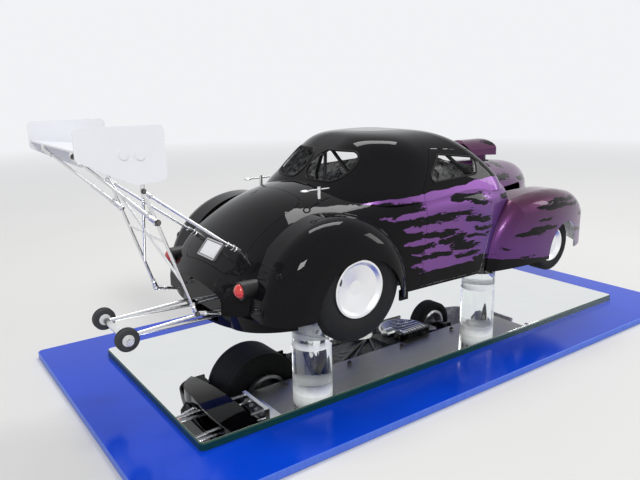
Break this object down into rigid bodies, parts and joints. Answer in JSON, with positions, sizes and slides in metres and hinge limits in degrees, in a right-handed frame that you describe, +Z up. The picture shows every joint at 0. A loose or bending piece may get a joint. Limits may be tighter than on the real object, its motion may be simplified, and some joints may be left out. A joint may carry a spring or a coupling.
{
  "type": "scale model drag coupe on a mirror display base",
  "caption": "Black and purple scale model drag coupe with rear wing and wheelie bar, on clear pillars over a mirror and a blue plate.",
  "frame": {"origin": "underside of the base plate, on the car's centre plane, at mid-length of the mirror", "axes": "+X towards the car's front, +Y to its left, +Z up"},
  "size_m": [0.61, 0.305, 0.2245],
  "materials": {
    "base_acrylic": "gloss",
    "mirror_glass": "polished",
    "clear_acrylic": "clear",
    "pan_aluminium": "brushed",
    "black_bar": "gloss",
    "bright_metal": "polished",
    "spun_aluminium": "polished",
    "foil": "crinkled",
    "cast_grey": "matte",
    "rubber": "matte",
    "white_plastic": "satin",
    "white_sheet": "gloss",
    "gloss_black": "gloss",
    "purple_metallic": "gloss",
    "red_lens": "gloss",
    "clear_lens": "gloss"
  },
  "bodies": {
    "display": {"base_plate": "base_acrylic", "mirror_glass": "mirror_glass", "pillar_front_right": "clear_acrylic", "pillar_front_left": "clear_acrylic", "pillar_rear_left": "clear_acrylic", "pillar_rear_right": "clear_acrylic", "chassis_pan": "pan_aluminium", "outrigger_left": "black_bar", "outrigger_right": "black_bar", "interior_tin": "foil", "roll_cage": "cast_grey", "engine_block": "cast_grey", "valve_cover_left": "bright_metal", "valve_cover_right": "bright_metal", "blower": "bright_metal", "injector_scoop": "purple_metallic", "header_left": "bright_metal", "header_right": "bright_metal", "rear_axle_housing": "pan_aluminium", "front_axle_beam": "black_bar", "wheelie_frame": "bright_metal", "wheelie_axle": "bright_metal", "strut_frame": "bright_metal", "wing_blade": "white_sheet", "end_plate_left": "white_sheet", "end_plate_right": "white_sheet", "body_shell": "gloss_black", "door_left": "purple_metallic", "door_right": "purple_metallic", "deck_lid": "gloss_black", "rear_fender_left": "gloss_black", "rear_fender_right": "gloss_black", "rear_pan": "gloss_black", "hood": "purple_metallic", "front_fender_left": "purple_metallic", "front_fender_right": "purple_metallic", "tail_lamp_left": "red_lens", "tail_lamp_right": "red_lens", "head_lamp_left": "clear_lens", "head_lamp_right": "clear_lens", "licence_plate": "white_plastic", "body_clip_left": "bright_metal", "body_clip_right": "bright_metal"},
    "rear_wheels": {"rear_axle_shaft": "bright_metal", "rear_rim_left": "spun_aluminium", "rear_rim_right": "spun_aluminium", "rear_tyre_left": "rubber", "rear_tyre_right": "rubber"},
    "knuckle_right": {"knuckle_right": "black_bar"},
    "knuckle_left": {"knuckle_left": "black_bar"},
    "tie_rod": {"tie_rod": "black_bar"},
    "front_wheel_right": {"front_rim_right": "spun_aluminium", "front_tyre_right": "rubber"},
    "front_wheel_left": {"front_rim_left": "spun_aluminium", "front_tyre_left": "rubber"},
    "wheelie_wheel_right": {"wheelie_hub_right": "white_plastic", "wheelie_tyre_right": "rubber"},
    "wheelie_wheel_left": {"wheelie_hub_left": "white_plastic", "wheelie_tyre_left": "rubber"}
  },
  "joints": [
    {"name": "rear_axle_spin", "type": "hinge", "parent": "display", "child": "rear_wheels", "pos_m": [-0.1075, 0, 0.0903], "axis": [0, 1, 0], "continuous": true},
    {"name": "steer_right", "type": "hinge", "parent": "display", "child": "knuckle_right", "pos_m": [0.162, -0.064, 0.082], "axis": [0, 0, 1], "range_deg": [-20, 20]},
    {"name": "steer_left", "type": "hinge", "parent": "display", "child": "knuckle_left", "pos_m": [0.162, 0.064, 0.082], "axis": [0, 0, 1], "range_deg": [-20, 20]},
    {"name": "tie_rod_pivot", "type": "hinge", "parent": "knuckle_right", "child": "tie_rod", "pos_m": [0.18, -0.064, 0.0853], "axis": [0, 0, 1], "range_deg": [-20, 20]},
    {"name": "front_wheel_right_spin", "type": "hinge", "parent": "knuckle_right", "child": "front_wheel_right", "pos_m": [0.162, -0.083, 0.082], "axis": [0, 1, 0], "continuous": true},
    {"name": "front_wheel_left_spin", "type": "hinge", "parent": "knuckle_left", "child": "front_wheel_left", "pos_m": [0.162, 0.083, 0.082], "axis": [0, 1, 0], "continuous": true},
    {"name": "wheelie_wheel_right_spin", "type": "hinge", "parent": "display", "child": "wheelie_wheel_right", "pos_m": [-0.271, -0.028, 0.065], "axis": [0, 1, 0], "continuous": true},
    {"name": "wheelie_wheel_left_spin", "type": "hinge", "parent": "display", "child": "wheelie_wheel_left", "pos_m": [-0.271, 0.028, 0.065], "axis": [0, 1, 0], "continuous": true}
  ],
  "couplings": [
    {"joint": "steer_left", "follows": "steer_right", "ratio": 1},
    {"joint": "tie_rod_pivot", "follows": "steer_right", "ratio": -1}
  ]
}
